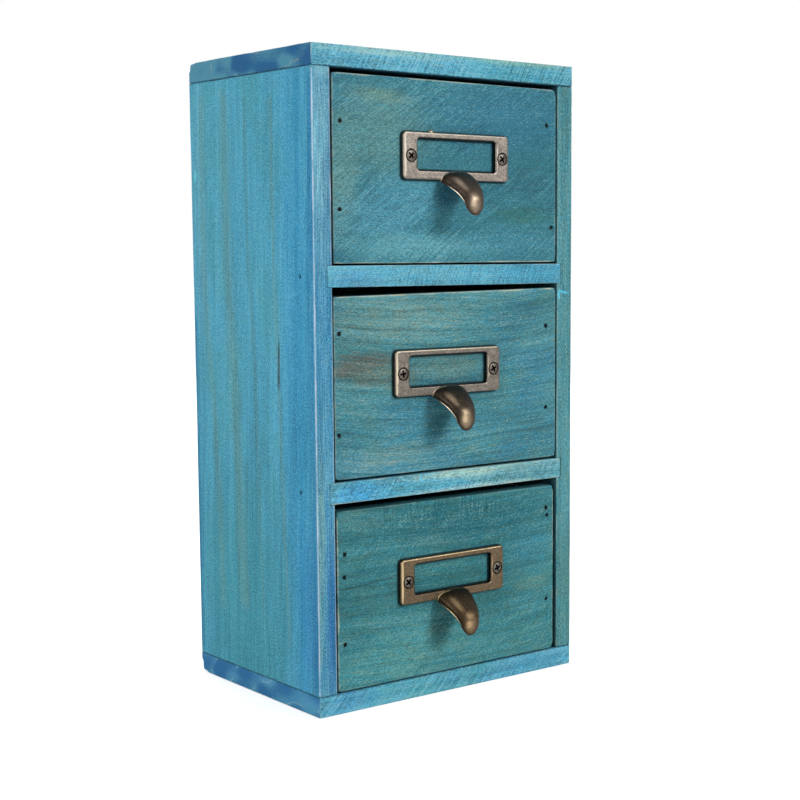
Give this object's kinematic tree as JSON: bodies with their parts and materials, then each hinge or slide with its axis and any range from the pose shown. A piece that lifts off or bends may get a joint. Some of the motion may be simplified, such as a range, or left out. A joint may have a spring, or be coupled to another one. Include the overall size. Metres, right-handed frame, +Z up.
{
  "type": "desktop mini drawers",
  "caption": "Upright wooden desktop drawer unit with stacked sliding drawers, each with a screwed-on label holder and curled finger pull.",
  "frame": {"origin": "centre of the case's flat underside, which stands on the table", "axes": "+X right seen from the front, drawer fronts and pulls face -Y, +Z up"},
  "size_m": [0.133, 0.1095, 0.263],
  "materials": {
    "case_wood": "cyan-blue stain, worn matt",
    "drawer_wood": "teal stain, worn matt",
    "plywood_panel": "bare plywood with stain wiped on",
    "antique_bronze": "antiqued, rubbed bright on the edges",
    "screw_steel": "darkened, oxidised",
    "nail_steel": "dull, rusted dark"
  },
  "bodies": {
    "cabinet": {"top_board": "case_wood", "bottom_board": "case_wood", "left_side_board": "case_wood", "right_side_board": "case_wood", "upper_divider": "case_wood", "lower_divider": "case_wood", "back_panel": "plywood_panel", "top_board_nails": "nail_steel", "bottom_board_nails": "nail_steel", "divider_nails": "nail_steel", "back_panel_nails": "nail_steel"},
    "top_drawer": {"top_drawer_front": "drawer_wood", "top_drawer_left_side": "drawer_wood", "top_drawer_right_side": "drawer_wood", "top_drawer_back": "drawer_wood", "top_drawer_bottom": "plywood_panel", "top_label_holder": "antique_bronze", "top_holder_screws": "screw_steel", "top_drawer_front_nails": "nail_steel", "top_drawer_back_nails": "nail_steel"},
    "middle_drawer": {"middle_drawer_front": "drawer_wood", "middle_drawer_left_side": "drawer_wood", "middle_drawer_right_side": "drawer_wood", "middle_drawer_back": "drawer_wood", "middle_drawer_bottom": "plywood_panel", "middle_label_holder": "antique_bronze", "middle_holder_screws": "screw_steel", "middle_drawer_front_nails": "nail_steel", "middle_drawer_back_nails": "nail_steel"},
    "bottom_drawer": {"bottom_drawer_front": "drawer_wood", "bottom_drawer_left_side": "drawer_wood", "bottom_drawer_right_side": "drawer_wood", "bottom_drawer_back": "drawer_wood", "bottom_drawer_bottom": "plywood_panel", "bottom_label_holder": "antique_bronze", "bottom_holder_screws": "screw_steel", "bottom_drawer_front_nails": "nail_steel", "bottom_drawer_back_nails": "nail_steel"}
  },
  "joints": [
    {"name": "top_drawer_slide", "type": "slide", "parent": "cabinet", "child": "top_drawer", "axis": [0, -1, 0], "range_m": [0, 0.07]},
    {"name": "middle_drawer_slide", "type": "slide", "parent": "cabinet", "child": "middle_drawer", "axis": [0, -1, 0], "range_m": [0, 0.07]},
    {"name": "bottom_drawer_slide", "type": "slide", "parent": "cabinet", "child": "bottom_drawer", "axis": [0, -1, 0], "range_m": [0, 0.07]}
  ]
}
